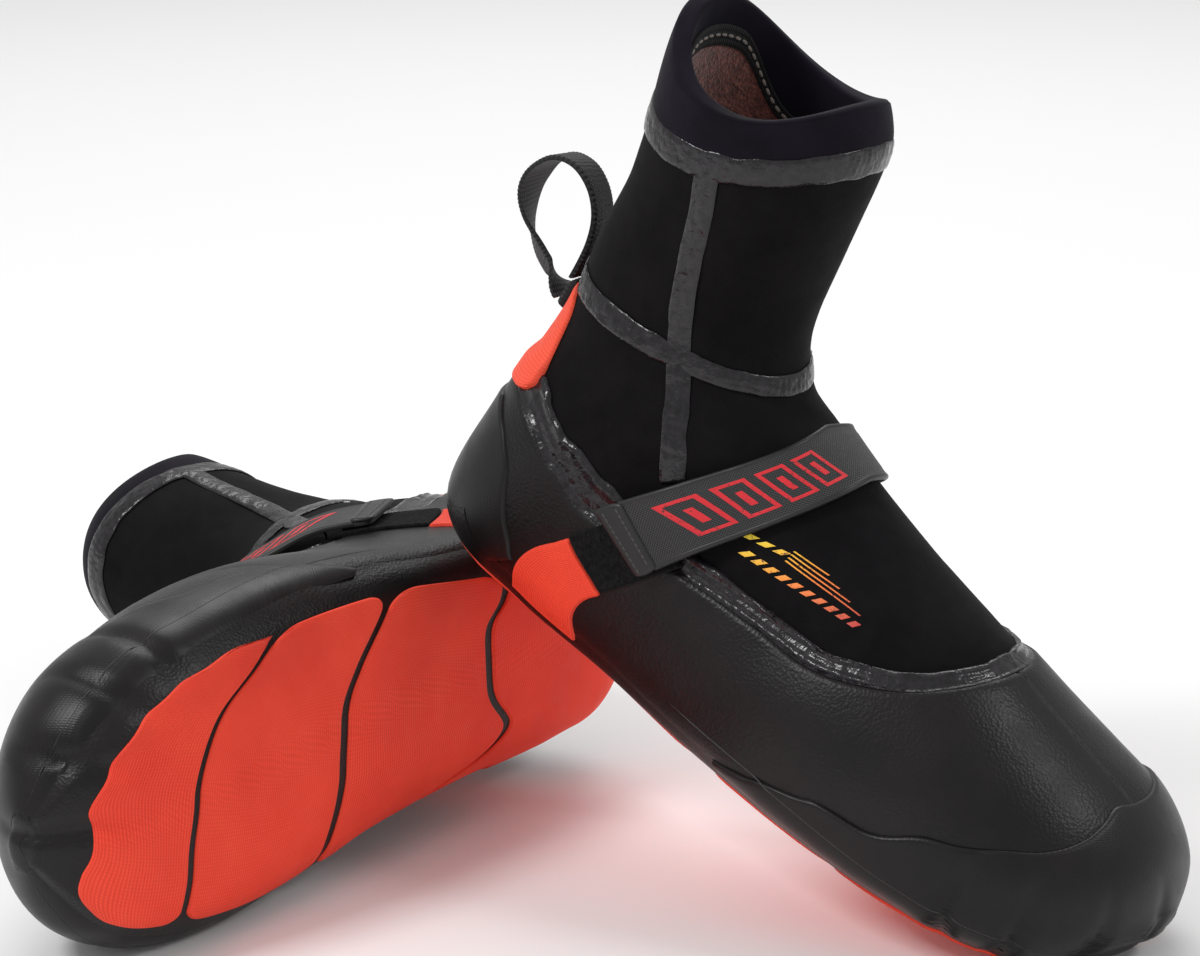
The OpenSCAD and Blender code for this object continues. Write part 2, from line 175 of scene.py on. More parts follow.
# ---------------------------------------------------------------- numbers and curves

def ease(f):
    c = np.clip(f, 0, 1)
    return c * c * (3 - 2 * c)


def blend(a, b, f):
    return a + (b - a) * f


def curve(points):
    """A smooth line through points, as a function of the share of the way along it."""
    p = np.array(points, float)
    chord = np.linalg.norm(np.diff(p * [20, 1], axis=0), axis=1)
    at = np.concatenate([[0], np.cumsum(chord)]) / chord.sum()
    slope = np.gradient(p, at, axis=0)

    def value(f):
        f = np.clip(np.asarray(f, float), 0, 1)
        i = np.clip(np.searchsorted(at, f, side="right") - 1, 0, len(at) - 2)
        h = at[i + 1] - at[i]
        x = (f - at[i]) / h
        x, h = x[..., None], h[..., None]
        return ((1 + 2 * x) * (1 - x) ** 2 * p[i] + x * (1 - x) ** 2 * h * slope[i]
                + x * x * (3 - 2 * x) * p[i + 1] + x * x * (x - 1) * h * slope[i + 1])
    return value


def speckle(x, y):
    """Smooth repeatable noise from -1 to 1, one cell a unit wide."""
    x, y = np.broadcast_arrays(np.asarray(x, float), np.asarray(y, float))
    i, j = np.floor(x), np.floor(y)
    f, g = ease(x - i), ease(y - j)

    def corner(a, b):
        return np.modf(np.abs(np.sin(a * 12.9898 + b * 78.233) * 43758.5453))[0]
    low = blend(corner(i, j), corner(i + 1, j), f)
    return 2 * blend(low, blend(corner(i, j + 1), corner(i + 1, j + 1), f), g) - 1


def samples(count):
    """Shares from 0 to 1 that crowd together at both ends."""
    x = np.linspace(0, 1, count + 1)
    return blend(x, 0.5 - 0.5 * np.cos(math.pi * x), 0.75)


# ---------------------------------------------------------------- the skin of the boot

def row(s):
    s = np.clip(s, 0, TIP - 1e-6)
    i = np.floor(s).astype(int)
    f = (s - i)[..., None]
    a, b = STATIONS[np.maximum(i - 1, 0)], STATIONS[i]
    c, d = STATIONS[i + 1], STATIONS[np.minimum(i + 2, TIP)]
    return b + 0.5 * f * (c - a + f * (2 * a - 5 * b + 4 * c - d + f * (3 * (b - c) + d - a)))


def skin(s, t):
    """Outer face of the neoprene. Past the last station the ring closes to a round nose."""
    r = row(s)
    angle = np.radians(t)
    upper = np.cos(angle) >= 0
    power = 2 / np.where(upper, CROWN, r[..., 7])
    rise = np.abs(np.cos(angle)) ** power
    reach = np.sign(np.sin(angle)) * np.abs(np.sin(angle)) ** power
    top, sole = r[..., 0:2], r[..., 2:4]
    wide = sole + r[..., 6:7] * (top - sole)
    p = wide + (np.where(upper[..., None], top, sole) - wide) * rise[..., None]
    dip = np.sin(angle) ** 2 * (RIM_DIP * np.maximum(1 - s, 0) + SEAM_DIP * ease((2.6 - s) / 1.6))
    point = np.stack([p[..., 0], r[..., 5] + r[..., 4] * reach, p[..., 1] - dip], -1)
    last = STATIONS[TIP]
    centre = np.array([(last[0] + last[2]) / 2, last[5], (last[1] + last[3]) / 2])
    turn = np.clip(s - TIP, 0, 1)[..., None] * math.pi / 2
    return centre + (point - centre) * np.cos(turn) + np.array([NOSE, 0, 0]) * np.sin(turn)


def outward(s, t):
    step = 0.05
    n = np.cross(skin(np.minimum(s + step, POLE), t) - skin(np.maximum(s - step, 0), t),
                 skin(s, t + 1) - skin(s, t - 1))
    n = n / np.maximum(np.linalg.norm(n, axis=-1, keepdims=True), 1e-9)
    ahead = ease((s - POLE + 0.3) / 0.25)[..., None]
    n = blend(n, np.array([1.0, 0, 0]), ahead)
    return n / np.linalg.norm(n, axis=-1, keepdims=True)


def toes(point):
    """Lobes of the five toes round the front of the shell, as a height."""
    x, y, z = np.moveaxis(point - TOE_CENTRE, -1, 0)
    reach = np.hypot(x, y)
    angle = np.degrees(np.arctan2(y, x))
    notch = sum(np.exp(-(np.radians(angle - n) * reach / NOTCH_WIDTH) ** 2) for n in NOTCHES)
    fade = ease((reach - 26) / 16) * ease((44 - z) / 24) * ease((100 + angle) / 15)
    return fade * ease((70 - angle) / 30) * (LOBE_HEIGHT - NOTCH_DEPTH * notch)


def moulded(s, t):
    """Base points and normals of the moulded rubber: the skin with the toe lobes on it."""
    base, normal = skin(s, t), outward(s, t)
    return base + toes(base)[..., None] * normal, normal


def soft(s, t):
    return skin(s, t), outward(s, t)


def side_angle(t):
    """Degrees from the top of the foot, whichever side: 180 is the middle of the sole."""
    return np.abs((t + 180) % 360 - 180)


def tray_height(s, t):
    """Top of the outsole: it swells out of the shell, counter and toe rand without a step."""
    covered = np.maximum(ease((6.7 - s) / 0.3), ease((s - 9.3) / 0.5))
    rim = blend(SHELL, OVERLAY, covered) - 0.06
    swell = ease((side_angle(t) - SOLE_SIDE) / 26) * ease((s - 6) / 0.6) * ease((14.7 - s) / 1.4)
    return blend(rim, OUTSOLE, swell)


def seam_angle(s):
    return np.interp(s, [p[0] for p in SEAM], [p[1] for p in SEAM])


# ---------------------------------------------------------------- meshes

def lengths(grid, axis):
    """Running length along one axis of a grid of points, through the middle of the sheet."""
    step = np.linalg.norm(np.diff(grid, axis=axis), axis=-1)
    mean = step.mean(axis=1 - axis)
    return np.concatenate([[0], np.cumsum(mean)])


def border(grid, ring):
    sides = [grid[0], grid[-1]]
    if not ring:
        sides += [grid[:, 0], grid[:, -1]]
    return np.concatenate(sides)


def distance_to(line, points):
    """Distance of every point from the nearest of a line's points."""
    tree = KDTree(len(line))
    for i, p in enumerate(line):
        tree.insert(p, i)
    tree.balance()
    flat = points.reshape(-1, 3)
    return np.array([tree.find(p)[2] for p in flat]).reshape(points.shape[:-1])


def grid_faces(rows, columns):
    """Quads of an upper sheet, a lower sheet and the wall round both."""
    a = (np.arange(rows)[:, None] * (columns + 1) + np.arange(columns)).ravel()
    top = np.stack([a, a + columns + 1, a + columns + 2, a + 1], 1)
    count = (rows + 1) * (columns + 1)
    loop = np.concatenate([
        np.arange(columns), np.arange(rows) * (columns + 1) + columns,
        count - 1 - np.arange(columns), (rows - np.arange(rows)) * (columns + 1)])
    after = np.roll(loop, -1)
    wall = np.stack([loop, after, after + count, loop + count], 1)
    return top, top[:, ::-1] + count, wall


def mesh_of(name, points, faces, uv, weld=0.002):
    """A closed mesh in millimetres of the boot frame, welded, with normals outwards."""
    mesh = bpy.data.meshes.new(name)
    mesh.from_pydata(points.tolist(), [], faces.tolist())
    layer = mesh.uv_layers.new(name="UVMap")
    corner = np.empty(len(mesh.loops), np.int32)
    mesh.loops.foreach_get("vertex_index", corner)
    layer.data.foreach_set("uv", (uv[corner] * MM).astype(np.float32).ravel())
    work = bmesh.new()
    work.from_mesh(mesh)
    bmesh.ops.remove_doubles(work, verts=work.verts, dist=weld)
    bmesh.ops.recalc_face_normals(work, faces=work.faces)
    work.to_mesh(mesh)
    work.free()
    mesh.shade_smooth()
    mesh.set_sharp_from_angle(angle=math.radians(48))
    return mesh


def slab(name, base, normal, low, high, edge=1.0, share=0.3, ring=False, rim=None, relief=None,
         uv=None):
    """A sheet between two heights over base points. Its upper edge is rounded over the width
    edge down to the share of its thickness, and relief(g) adds height to its upper face."""
    rows, columns = base.shape[0] - 1, base.shape[1] - 1
    low = np.broadcast_to(low, base.shape[:2])
    high = np.broadcast_to(high, base.shape[:2])
    along, across = lengths(base, 0), lengths(base, 1)
    x, y = np.meshgrid(along, across, indexing="ij")
    near = distance_to(border(base, ring) if rim is None else rim, base)
    full = np.sqrt(np.clip(1 - (1 - np.clip(near / edge, 0, 1)) ** 2, 0, 1))
    lift = low + (high - low) * (share + (1 - share) * full)
    if relief is not None:
        lift = lift + relief(SimpleNamespace(x=x, y=y, near=near, base=base)) * full
    if uv is None:
        uv = np.stack([x, y], -1)
    upper = base + lift[..., None] * normal
    lower = base + low[..., None] * normal
    if ring:
        upper[:, -1], lower[:, -1] = upper[:, 0], lower[:, 0]
    top, under, wall = grid_faces(rows, columns)
    points = np.concatenate([upper.reshape(-1, 3), lower.reshape(-1, 3)])
    if ring:
        edges = np.arange(columns)
        wall = np.concatenate([
            np.stack([e, e + 1, e + 1 + len(points) // 2, e + len(points) // 2], 1)
            for e in (edges, edges + rows * (columns + 1))])
    faces = np.concatenate([top, under, wall])
    return mesh_of(name, points, faces, np.tile(uv.reshape(-1, 2), (2, 1)))


def patch(name, place, low, high, rows, columns, surface=soft, **options):
    """A sheet whose stations and angles place(u, v) gives, from shares down and across."""
    u, v = np.meshgrid(samples(rows), samples(columns), indexing="ij")
    s, t = place(u, v)
    base, normal = surface(s, t)
    low = low(s, t) if callable(low) else low
    high = high(s, t) if callable(high) else high
    return slab(name, base, normal, low, high, **options)


def band(name, start, end, low, high, rows, columns, surface=soft, **options):
    """A ring all the way round the boot from one station to another."""
    u, v = np.meshgrid(samples(rows), np.linspace(0, 1, columns + 1), indexing="ij")
    t = 360 * v - 180
    first = start(t) if callable(start) else start
    last = end(t) if callable(end) else end
    s = blend(first, last, u)
    base, normal = surface(s, t)
    return slab(name, base, normal, low, high, ring=True, **options)


def lathe(name, profile, columns):
    """A ring whose closed section profile(t) gives stations and heights at an angle."""
    t = np.linspace(-180, 180, columns + 1)
    s, h = profile(t)
    base, normal = soft(s, np.broadcast_to(t, s.shape))
    points = base + h[..., None] * normal
    points[:, -1] = points[:, 0]
    rows = len(s)
    a = (np.arange(rows)[:, None] * (columns + 1) + np.arange(columns))
    b = (((np.arange(rows) + 1) % rows)[:, None] * (columns + 1) + np.arange(columns))
    faces = np.stack([a, b, b + 1, a + 1], -1).reshape(-1, 4)
    x, y = np.meshgrid(lengths(points, 0), lengths(points, 1), indexing="ij")
    return mesh_of(name, points.reshape(-1, 3), faces, np.stack([x, y], -1).reshape(-1, 2))


def rounded(u, v, width, height, radius):
    """Moves shares of a patch so that its corners turn round a radius, all in millimetres."""
    a, b = 2 * u - 1, 2 * v - 1
    ra, rb = 2 * radius / width, 2 * radius / height
    x = np.clip((np.abs(a) - 1 + ra) / ra, 0, 1)
    y = np.clip((np.abs(b) - 1 + rb) / rb, 0, 1)
    new_a = np.where(x > 0, 1 - ra + ra * x * np.sqrt(1 - y * y / 2), np.abs(a))
    new_b = np.where(y > 0, 1 - rb + rb * y * np.sqrt(1 - x * x / 2), np.abs(b))
    return (1 + np.sign(a) * new_a) / 2, (1 + np.sign(b) * new_b) / 2


def stitches(name, points, normals, pitch, length, radius):
    """Small thread capsules laid end to end along a line of points."""
    step = np.linalg.norm(np.diff(points, axis=0), axis=1)
    at = np.concatenate([[0], np.cumsum(step)])
    places = np.arange(pitch / 2, at[-1], pitch)

    def along(values, d):
        return np.stack([np.interp(d, at, values[:, k]) for k in range(3)], -1)
    middle = along(points, places)
    tangent = along(points, places + 0.3) - along(points, places - 0.3)
    tangent /= np.linalg.norm(tangent, axis=1, keepdims=True)
    up = along(normals, places)
    up -= (up * tangent).sum(1, keepdims=True) * tangent
    up /= np.linalg.norm(up, axis=1, keepdims=True)
    side = np.cross(tangent, up)
    rings = [(-0.5, 0.35), (-0.32, 0.9), (0, 1), (0.32, 0.9), (0.5, 0.35)]
    count = 6
    verts, faces = [], []
    for k, (shift, size) in enumerate(rings):
        for j in range(count):
            a = 2 * math.pi * j / count
            verts.append(middle + shift * length * tangent
                         + radius * size * (math.cos(a) * side + math.sin(a) * up))
    for k in range(len(rings) - 1):
        for j in range(count):
            n = (j + 1) % count
            faces.append([k * count + j, k * count + n, (k + 1) * count + n, (k + 1) * count + j])
    quads = np.array(faces)
    ends = np.array([[0, 1, 2, 3], [0, 3, 4, 5], [24, 27, 26, 25], [24, 29, 28, 27]])
    block = np.concatenate([quads, ends])
    size = len(rings) * count
    all_faces = (np.arange(len(places))[:, None, None] * size + block).reshape(-1, 4)
    all_points = np.stack(verts, 1).reshape(-1, 3)
    return mesh_of(name, all_points, all_faces, all_points[:, :2], weld=1e-5)


# ---------------------------------------------------------------- materials

class Finish:
    """One procedural material. Sizes are in metres."""

    def __init__(self, name, **sockets):
        self.data = bpy.data.materials.new(name)
        self.data.use_nodes = True
        self.tree = self.data.node_tree
        self.shader = self.tree.nodes["Principled BSDF"]
        for key, value in sockets.items():
            self.shader.inputs[key.replace("_", " ")].default_value = value
        coordinates = self.node("ShaderNodeTexCoord")
        self.place = coordinates.outputs["Object"]
        split = self.node("ShaderNodeSeparateXYZ", {"Vector": coordinates.outputs["UV"]})
        self.x, self.y = split.outputs["X"], split.outputs["Y"]
        self.normal = None

    def node(self, kind, inputs=None, **properties):
        made = self.tree.nodes.new(kind)
        for key, value in properties.items():
            setattr(made, key, value)
        for key, value in (inputs or {}).items():
            if isinstance(value, bpy.types.NodeSocket):
                self.tree.links.new(value, made.inputs[key])
            else:
                made.inputs[key].default_value = value
        return made

    def math(self, operation, *values):
        return self.node("ShaderNodeMath", dict(enumerate(values)), operation=operation).outputs[0]

    def noise(self, size, detail=3.0, rough=0.5):
        return self.node("ShaderNodeTexNoise", {"Vector": self.place, "Scale": 1 / size,
                         "Detail": detail, "Roughness": rough}).outputs["Fac"]

    def cells(self, size, feature="F1", vector=None):
        return self.node("ShaderNodeTexVoronoi", {"Vector": vector or self.place,
                         "Scale": 1 / size}, feature=feature).outputs["Distance"]

    def wave(self, along, pitch, shift=0.0):
        """Sine from 0 to 1 with the given pitch along a coordinate."""
        turn = self.math("MULTIPLY_ADD", along, 2 * math.pi / pitch, shift)
        return self.math("MULTIPLY_ADD", self.math("SINE", turn), 0.5, 0.5)

    def limit(self, value, low, high, start=0.0, end=1.0):
        return self.node("ShaderNodeMapRange", {"Value": value, "From Min": low, "From Max": high,
                         "To Min": start, "To Max": end}).outputs["Result"]

    def mix(self, share, first, second):
        made = self.node("ShaderNodeMix", {0: share, 6: first, 7: second}, data_type="RGBA")
        return made.outputs[2]

    def colour(self, socket):
        self.tree.links.new(socket, self.shader.inputs["Base Color"])
        return self

    def roughness(self, value, low, high):
        self.tree.links.new(self.limit(value, 0.2, 0.8, low, high), self.shader.inputs["Roughness"])
        return self

    def bump(self, height, distance, strength=1.0):
        inputs = {"Height": height, "Distance": distance, "Strength": strength}
        if self.normal is not None:
            inputs["Normal"] = self.normal
        self.normal = self.node("ShaderNodeBump", inputs).outputs["Normal"]
        self.tree.links.new(self.normal, self.shader.inputs["Normal"])
        return self


def rgb(code):
    """Linear colour of a hex code."""
    parts = [int(code[i:i + 2], 16) / 255 for i in (1, 3, 5)]
    return [p / 12.92 if p <= 0.04045 else ((p + 0.055) / 1.055) ** 2.4 for p in parts] + [1.0]


def jersey(name, dark, light, sheen):
    """Matt stretch knit over neoprene foam."""
    f = Finish(name, Roughness=0.9, Sheen_Weight=sheen, Sheen_Roughness=0.4,
               Specular_IOR_Level=0.12)
    f.colour(f.mix(f.limit(f.noise(0.025), 0.35, 0.65), rgb(dark), rgb(light)))
    f.roughness(f.noise(0.006), 0.8, 0.95)
    rib = f.math("MULTIPLY", f.wave(f.x, 0.0009), f.wave(f.y, 0.0007))
    f.bump(f.noise(0.05, 1.0), 0.0012, 0.35)
    return f.bump(f.math("ADD", rib, f.noise(0.0006, 1.0)), 0.00008, 0.35)


def liquid_rubber():
    """Glossy sealing rubber brushed over the seams."""
    f = Finish("sealed_tape", Roughness=0.3, Specular_IOR_Level=0.45)
    patches = f.limit(f.noise(0.0025, 4.0), 0.3, 0.75)
    f.colour(f.mix(patches, rgb("#0c0a0d"), rgb("#262226")))
    f.roughness(f.noise(0.002, 3.0), 0.12, 0.36)
    f.bump(f.noise(0.006, 3.0), 0.0014, 0.7)
    return f.bump(f.noise(0.0022, 2.0), 0.0003, 0.5)


def grained_rubber():
    """Satin moulded rubber with a leather grain."""
    f = Finish("grained_rubber", Roughness=0.4, Specular_IOR_Level=0.3)
    worn = f.limit(f.noise(0.035, 4.0), 0.35, 0.7)
    f.colour(f.mix(worn, rgb("#0d0b0c"), rgb("#171314")))
    f.roughness(f.noise(0.012, 4.0), 0.32, 0.46)
    f.bump(f.noise(0.03, 2.0), 0.0012, 0.25)
    f.bump(f.cells(0.0011), 0.00022, 0.5)
    return f.bump(f.noise(0.0007, 2.0), 0.0001, 0.4)


def hatched_rubber():
    """The same rubber with the fine hatching of the toe and heel overlays."""
    f = Finish("hatched_rubber", Roughness=0.4, Specular_IOR_Level=0.3)
    worn = f.limit(f.noise(0.03, 4.0), 0.35, 0.7)
    f.colour(f.mix(worn, rgb("#0e0c0d"), rgb("#181415")))
    f.roughness(f.noise(0.01, 4.0), 0.3, 0.44)
    slant = f.math("ADD", f.x, f.math("MULTIPLY", f.y, 0.35))
    hatch = f.math("MULTIPLY", f.wave(slant, 0.0008), f.wave(f.y, 0.001))
    f.bump(f.noise(0.02, 2.0), 0.001, 0.25)
    f.bump(hatch, 0.00008, 0.4)
    return f.bump(f.noise(0.0007, 2.0), 0.0001, 0.35)


def knit_orange(name, light, deep, pitch=0.0009):
    """Soft orange rubber moulded with the print of a ribbed knit, with painted shade in its grooves.
    """
    f = Finish(name, Roughness=0.6, Specular_IOR_Level=0.25)
    rib = f.wave(f.x, pitch)
    purl = f.wave(f.y, pitch * 1.25)
    knit = f.math("MULTIPLY", rib, f.math("MULTIPLY_ADD", purl, 0.5, 0.5))
    # Colour follows the knit's height: darker in its grooves, which is painted shade, mixed with
    # random tone.
    shade = f.math("MULTIPLY_ADD", knit, 0.45, f.math("MULTIPLY", f.noise(0.03, 3.0), 0.55))
    f.colour(f.mix(f.limit(shade, 0.15, 0.75), rgb(deep), rgb(light)))
    f.roughness(f.noise(0.008), 0.5, 0.68)
    return f.bump(knit, 0.00022, 0.6).bump(f.noise(0.02, 1.0), 0.0008, 0.2)


def twill():
    """Fine dark twill of the instep strap, with plain bound edges and painted shade between its
    threads.
    """
    f = Finish("strap_twill", Roughness=0.6, Sheen_Weight=0.08, Specular_IOR_Level=0.3)
    warp = f.wave(f.math("ADD", f.x, f.y), 0.0011)
    weft = f.wave(f.math("SUBTRACT", f.x, f.y), 0.0011)
    weave = f.math("MULTIPLY", warp, weft)
    # Colour follows the weave's height: darker between the raised threads, which is painted shade.
    f.colour(f.mix(f.limit(weave, 0.1, 0.8), rgb("#252526"), rgb("#4a4a4b")))
    f.roughness(f.noise(0.01), 0.45, 0.62)
    return f.bump(weave, 0.00025, 0.7)


def plain_binding():
    f = Finish("strap_binding", Roughness=0.4, Coat_Weight=0.1, Coat_Roughness=0.35,
               Specular_IOR_Level=0.35)
    f.colour(f.mix(f.noise(0.006), rgb("#1c1c1d"), rgb("#2b2b2c")))
    f.roughness(f.noise(0.005), 0.34, 0.5)
    return f.bump(f.noise(0.0008, 2.0), 0.0001, 0.5)


def pile(name, dark, light, size, depth, fuzz):
    """Brushed loops, hooks or plush, with painted shade in the hollows between the clumps."""
    f = Finish(name, Roughness=0.95, Sheen_Weight=fuzz, Sheen_Roughness=0.6,
               Specular_IOR_Level=0.1)
    clumps = f.noise(size * 2, 4.0, 0.7)
    # Colour follows the height of the clumps: darker in the hollows between them, which is painted
    # shade.
    f.colour(f.mix(f.limit(clumps, 0.35, 0.7), rgb(dark), rgb(light)))
    f.bump(clumps, depth, 0.8)
    return f.bump(f.cells(size), depth * 0.6, 0.7)


def ribbed_webbing():
    f = Finish("ribbed_webbing", Roughness=0.6, Sheen_Weight=0.06, Specular_IOR_Level=0.25)
    weave = f.math("MULTIPLY", f.wave(f.x, 0.0019), f.wave(f.y, 0.0013))
    # Colour follows the rib height: darker between the ribs, which is painted shade.
    f.colour(f.mix(f.limit(weave, 0.05, 0.8), rgb("#0e0e0f"), rgb("#2c2c2e")))
    return f.bump(weave, 0.0003, 0.7)


def thread(name, code):
    f = Finish(name, Roughness=0.6, Sheen_Weight=0.3)
    f.colour(f.mix(f.noise(0.001), rgb(code), [c * 0.55 for c in rgb(code)[:3]] + [1.0]))
    return f.bump(f.noise(0.0004, 1.0), 0.0001, 0.6)


def ink(name, codes):
    """Printed ink that runs through the codes along the print, cracked a little."""
    f = Finish(name, Roughness=0.5)
    ramp = f.node("ShaderNodeValToRGB", {"Fac": f.limit(f.x, 0.0, INK_LENGTH * MM)})
    stops = ramp.color_ramp.elements
    while len(stops) < len(codes):
        stops.new(0.5)
    for k, code in enumerate(codes):
        stops[k].position = k / max(len(codes) - 1, 1)
        stops[k].color = rgb(code)
    worn = f.limit(f.noise(0.0012, 3.0), 0.3, 0.42)
    f.colour(f.mix(worn, rgb("#5a2a2a"), ramp.outputs["Color"]))
    return f.bump(f.noise(0.0008, 2.0), 0.00008, 0.5)


FINISHES = {
    "neoprene": jersey("neoprene_jersey", "#0b090b", "#121012", 0.03).data,
    "collar": jersey("smooth_collar", "#100d15", "#18141f", 0.05).data,
    "tape": liquid_rubber().data,
    "shell": grained_rubber().data,
    "overlay": hatched_rubber().data,
    "grip": knit_orange("knit_orange", "#ff5238", "#dd3626").data,
    "heel": knit_orange("heel_orange", "#ff6146", "#ee4a33", 0.0014).data,
    "strap": twill().data,
    "binding": plain_binding().data,
    "pile": pile("loop_pile", "#050505", "#1d1d1e", 0.0008, 0.0005, 0.03).data,
    "plush": pile("brown_plush", "#4a221c", "#8d5145", 0.0012, 0.0009, 0.4).data,
    "webbing": ribbed_webbing().data,
    "thread": thread("dark_thread", "#4d4a4b").data,
    "light_thread": thread("light_thread", "#8a7f78").data,
    "insole": jersey("insole_jersey", "#161415", "#242122", 0.08).data,
    "red_ink": ink("red_ink", ["#d8252f", "#c81f2c"]).data,
    "warm_ink": ink("warm_ink", ["#ffe23c", "#ff8a3a", "#c2303a"]).data,
    # Near-black finish of the parting line: painted shadow.
    "line": thread("parting_shadow", "#0b0a0a").data,
}


# ---------------------------------------------------------------- pieces of one boot

MADE = []


def add(mesh, finish, slot, *nodes, body="boot"):
    mesh.materials.append(FINISHES[finish])
    MADE.append(SimpleNamespace(mesh=mesh, slot=slot, nodes=nodes, body=body))


def inner_edge(t):
    """Upper edge of the plush inside the boot: it climbs nearly to the rim at the back."""
    return blend(COLLAR_SEAM + 0.02, 0.42, ease((side_angle(t) - 95) / 60))


def collar():
    corner = 1.9
    arc = np.linspace(0, math.pi / 2, 6)

    def profile(t):
        reach = np.linalg.norm(skin(np.full_like(t, 0.2), t) - skin(np.zeros_like(t), t), axis=-1)
        unit = 0.2 / reach
        outer = np.linspace(COLLAR_SEAM, 0.16, 12)[:, None] * np.ones_like(t)
        puff = 0.9 * np.sin(math.pi * outer) ** 0.7 + 0.35 * speckle(t / 40, outer * 2)
        first = corner * unit * (1 - np.sin(arc))[:, None]
        second = corner * unit * (1 - np.cos(arc))[:, None]
        inner = np.linspace(0.2, COLLAR_SEAM, 6)[:, None] * np.ones_like(t)
        s = np.concatenate([outer, first, second, inner])
        h = np.concatenate([puff - 0.3, (corner * np.cos(arc) - corner)[:, None] * np.ones_like(t),
                            (corner - RIM - corner * np.sin(arc))[:, None] * np.ones_like(t),
                            np.full_like(inner, -RIM)])
        return s, h
    add(lathe("collar_band_skin", profile, 160), "collar", "collar_neoprene", "collar_band")
    add(band("collar_lining_skin", 0.4, COLLAR_SEAM, -LINING - 1.25, -LINING, 10, 96, share=0.6),
        "collar", "collar_neoprene", "collar_lining")
    add(band("plush_skin", inner_edge, 13, -RIM - PLUSH_STEP, -LINING, 50, 96, share=0.8),
        "plush", "plush", "plush_lining")


def uppers():
    """The four neoprene panels, drawn in a little at their seams."""
    gap = 0.3
    front = (lambda s: -seam_angle(s) + gap, lambda s: seam_angle(s) - gap, 44)
    back = (lambda s: seam_angle(s) + gap, lambda s: 360 - seam_angle(s) - gap, 56)
    panels = [("shaft_front", COLLAR_SEAM, ANKLE_SEAM, 26, front),
              ("shaft_back", COLLAR_SEAM, ANKLE_SEAM, 26, back),
              ("vamp", ANKLE_SEAM, SOCK_END, 70, front),
              ("quarter", ANKLE_SEAM, SOCK_END, 70, back)]

    def relief(g):
        return 0.3 * speckle(g.x / 26, g.y / 34) + 0.12 * speckle(g.x / 9, g.y / 12)
    for name, start, end, rows, (left, right, columns) in panels:
        def place(u, v, start=start, end=end, left=left, right=right):
            s = blend(start, end, u)
            return s, blend(left(s), right(s), v)
        add(patch(name + "_skin", place, -NEOPRENE, 0, rows, columns, edge=6, share=0.88,
                  relief=relief), "neoprene", "neoprene", name)


def tape_relief(along, across, width):
    """Uneven rubber with two rows of stitches that press through in places."""
    middle = across - width / 2
    shows = ease(0.4 + 1.6 * speckle(along / 17, 3.0))
    rows = sum(np.exp(-((middle - d) / 0.8) ** 2) for d in (-1.9, 1.9))
    beads = np.clip(np.cos(2 * math.pi * along / 2.6 + np.sign(middle) * 0.9), 0, 1)
    return (0.42 * beads * rows * shows + 0.12 * speckle(along / 3.1, across / 2.2)
            + 0.16 * np.exp(-(middle / 0.7) ** 2))


def seam_tapes():
    def wavy(station, side, t):
        return station + side * (0.19 + 0.02 * speckle(t / 9, side * 3.0))

    def ring_relief(g):
        return tape_relief(g.y, g.x, g.x.max())

    def side_relief(g):
        return tape_relief(g.x, g.y, g.y.max())
    for name, station in (("collar_tape", COLLAR_SEAM), ("ankle_tape", ANKLE_SEAM)):
        add(band(name + "_skin", lambda t: wavy(station, -1, t), lambda t: wavy(station, 1, t),
                 TAPE_LOW, TAPE, 12, 380, edge=2.4, share=0.2, relief=ring_relief),
            "tape", "seam_tape", name)
    parts = []
    for side in (-1, 1):
        for start, end in ((COLLAR_SEAM + 0.05, ANKLE_SEAM - 0.05), (ANKLE_SEAM + 0.05, 5.6)):
            def place(u, v, side=side, start=start, end=end):
                s = blend(start, end, u)
                middle = side * seam_angle(s)
                speed = np.linalg.norm(skin(s, middle + 1) - skin(s, middle - 1), axis=-1) / 2
                half = SIDE_TAPE / 2 + 0.4 * speckle(s * 3.1, np.sign(v - 0.5) * 2.0 + side)
                return s, middle + side * (2 * v - 1) * half / speed
            parts.append(patch("side_tape", place, TAPE_LOW, TAPE - 0.05, 110, 10, edge=2.2,
                               share=0.2, relief=side_relief))
    add(joined("side_tapes_skin", parts), "tape", "seam_tape", "side_tapes")


def joined(name, meshes):
    """Several meshes as one piece."""
    work = bmesh.new()
    for mesh in meshes:
        work.from_mesh(mesh)
    whole = bpy.data.meshes.new(name)
    work.to_mesh(whole)
    work.free()
    for mesh in meshes:
        bpy.data.meshes.remove(mesh)
    return whole


def whole_loop(half):
    """A line given from the heel to the throat, as a closed loop: outer side, then inner."""
    return [(s, -t) for s, t in half] + [(s, t) for s, t in half[-2::-1]]


def shell_bead():
    inner, outer = curve(whole_loop(BEAD_EDGE)), curve(whole_loop(SHELL_EDGE))

    def place(u, v):
        a, b = inner(v), outer(v)
        wobble = 0.06 * speckle(v * 90, 1.0) * (1 - u)
        share = np.clip(u * 1.12 - wobble, -0.1, 1.12)
        s = blend(a[..., 0], b[..., 0], share)
        return s, blend(a[..., 1], b[..., 1], share)
    u, v = np.meshgrid(samples(16), np.linspace(0, 1, 561), indexing="ij")
    s, t = place(u, v)
    base, normal = soft(s, t)

    def relief(g):
        share = g.x / g.x.max()
        crest = 0.75 * np.exp(-((share - 0.16) / 0.1) ** 2) * (1 + 0.5 * speckle(g.y / 4.2, 5.0))
        fold = 0.28 * np.exp(-((share - 0.55) / 0.09) ** 2)
        return crest + fold + 0.12 * speckle(g.y / 6, g.x / 2) + 1.3 * ease((share - 0.75) / 0.25)
    add(slab("shell_bead_skin", base, normal, 0.1, 0.95, edge=1.2, share=0.15, ring=True,
             relief=relief), "tape", "seam_tape", "shell_bead")


